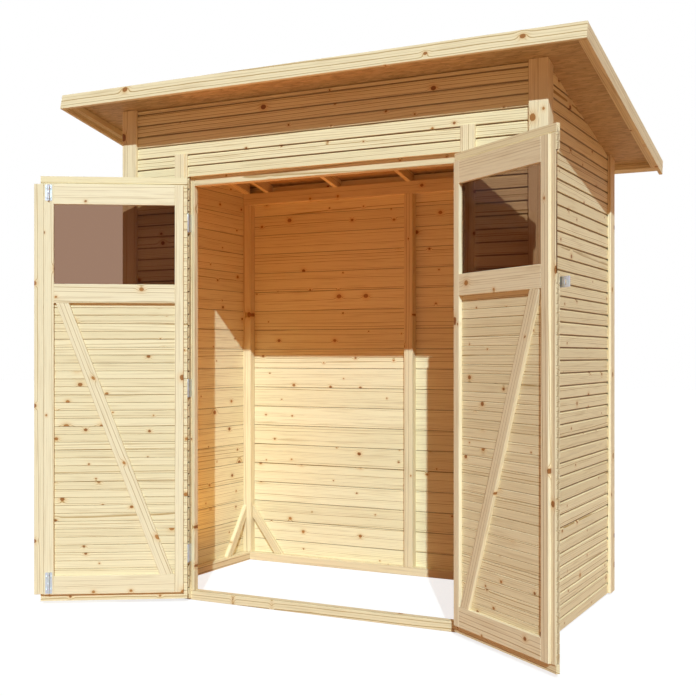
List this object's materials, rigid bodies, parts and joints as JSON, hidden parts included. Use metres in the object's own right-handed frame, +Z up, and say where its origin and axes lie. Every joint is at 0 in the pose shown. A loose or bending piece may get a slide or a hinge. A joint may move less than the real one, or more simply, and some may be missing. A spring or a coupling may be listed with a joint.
{
  "type": "garden shed",
  "caption": "Small timber garden shed with a lean-to roof, boarded walls on an open frame and an outward-opening glazed double door.",
  "frame": {"origin": "ground level, at the middle of the front sill's underside", "axes": "+Z up, +Y from the doorway towards the back wall, +X to the right seen from the front"},
  "size_m": [2.298, 1.4755, 2.1704],
  "materials": {
    "cladding": "planed, untreated spruce boards",
    "trim": "planed, untreated spruce",
    "frame_timber": "planed, untreated spruce",
    "door_boards": "planed, untreated spruce boards",
    "door_timber": "planed, untreated spruce",
    "roof_board": "pressed strand board",
    "roof_felt": "mineral roofing felt",
    "window_glass": "clear, lightly tinted",
    "ironwork": "bright zinc"
  },
  "bodies": {
    "shed": {"front_sill": "frame_timber", "side_plates": "frame_timber", "back_plate": "frame_timber", "front_left_wall": "cladding", "front_right_wall": "cladding", "front_header": "cladding", "left_wall": "cladding", "right_wall": "cladding", "back_wall": "cladding", "front_left_trim": "trim", "front_right_trim": "trim", "back_left_trim": "trim", "back_right_trim": "trim", "left_jamb": "frame_timber", "right_jamb": "frame_timber", "door_head": "frame_timber", "left_door_trim": "trim", "right_door_trim": "trim", "corner_posts": "frame_timber", "back_stud": "frame_timber", "front_top_plate": "frame_timber", "back_top_rail": "frame_timber", "side_top_rails": "frame_timber", "corner_braces": "frame_timber", "rafters": "frame_timber", "roof_deck": "roof_board", "roof_felt": "roof_felt", "roof_battens": "frame_timber", "front_fascia": "trim", "rear_fascia": "trim", "left_barge_board": "trim", "right_barge_board": "trim", "hinge_plates": "ironwork"},
    "left_door": {"left_door_boards": "door_boards", "left_door_stiles": "door_timber", "left_door_rails": "door_timber", "left_door_brace": "door_timber", "left_door_glass": "window_glass", "left_door_stop": "door_timber", "left_door_bolts": "ironwork", "left_door_hinges": "ironwork"},
    "right_door": {"right_door_boards": "door_boards", "right_door_stiles": "door_timber", "right_door_rails": "door_timber", "right_door_brace": "door_timber", "right_door_glass": "window_glass", "right_door_hasp": "ironwork", "right_door_hinges": "ironwork"}
  },
  "joints": [
    {"name": "left_door_hinge", "type": "hinge", "parent": "shed", "child": "left_door", "pos_m": [-0.6145, -0.046, 0.9], "axis": [0, 0, -1], "range_deg": [-148, 7]},
    {"name": "right_door_hinge", "type": "hinge", "parent": "shed", "child": "right_door", "pos_m": [0.6145, -0.046, 0.9], "axis": [0, 0, 1], "range_deg": [-144, 11]}
  ]
}
